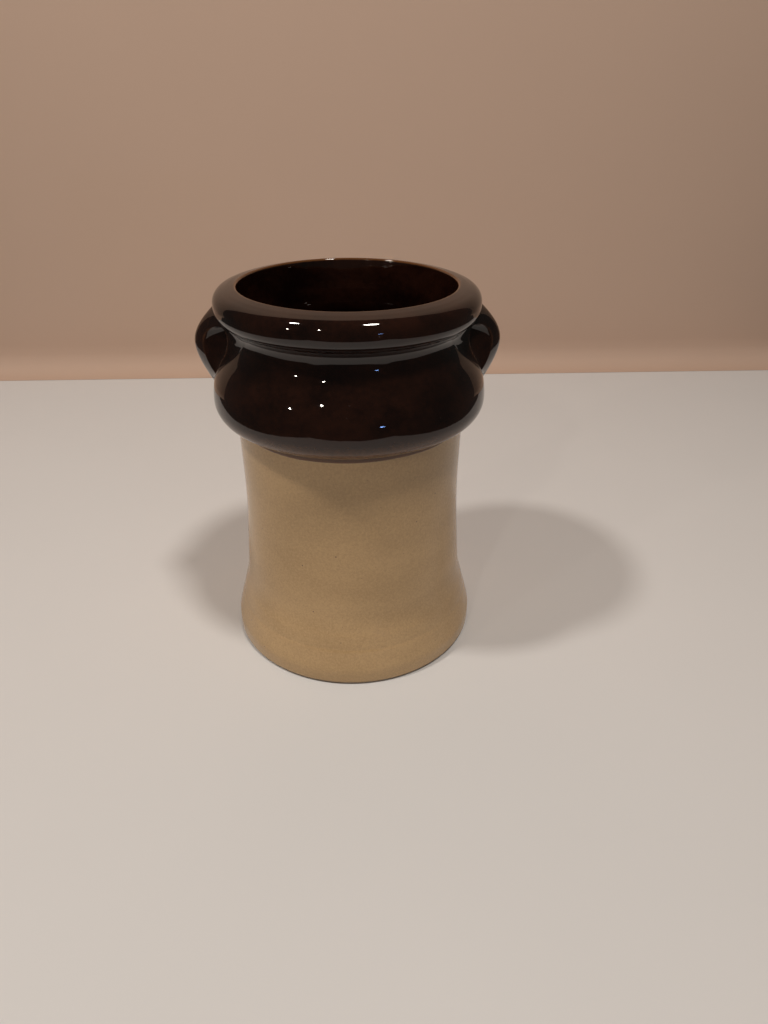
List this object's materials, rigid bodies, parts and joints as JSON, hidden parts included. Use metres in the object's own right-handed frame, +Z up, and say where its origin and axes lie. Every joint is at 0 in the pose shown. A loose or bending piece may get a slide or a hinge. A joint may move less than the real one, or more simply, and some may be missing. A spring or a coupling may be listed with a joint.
{
  "type": "butter crock",
  "caption": "Waisted stoneware crock with a rolled rim, bellied shoulder and two ear lugs, brown glaze over a cream barrel, open at the top.",
  "frame": {"origin": "centre of the circle on which the foot ring stands", "axes": "+Z up along the pot's axis, out of the mouth; X through the two ear lugs; +Y away from the viewer who sees one ear on each side"},
  "size_m": [0.1472, 0.1336, 0.19],
  "materials": {
    "brown_glaze": "gloss",
    "cream_glaze": "satin gloss",
    "bare_clay": "matte"
  },
  "bodies": {
    "root": {"base_disc": "bare_clay", "foot_ring": "cream_glaze", "barrel": "cream_glaze", "shoulder": "brown_glaze", "neck_collar": "brown_glaze", "rolled_rim": "brown_glaze", "left_ear": "brown_glaze", "right_ear": "brown_glaze"}
  },
  "joints": []
}
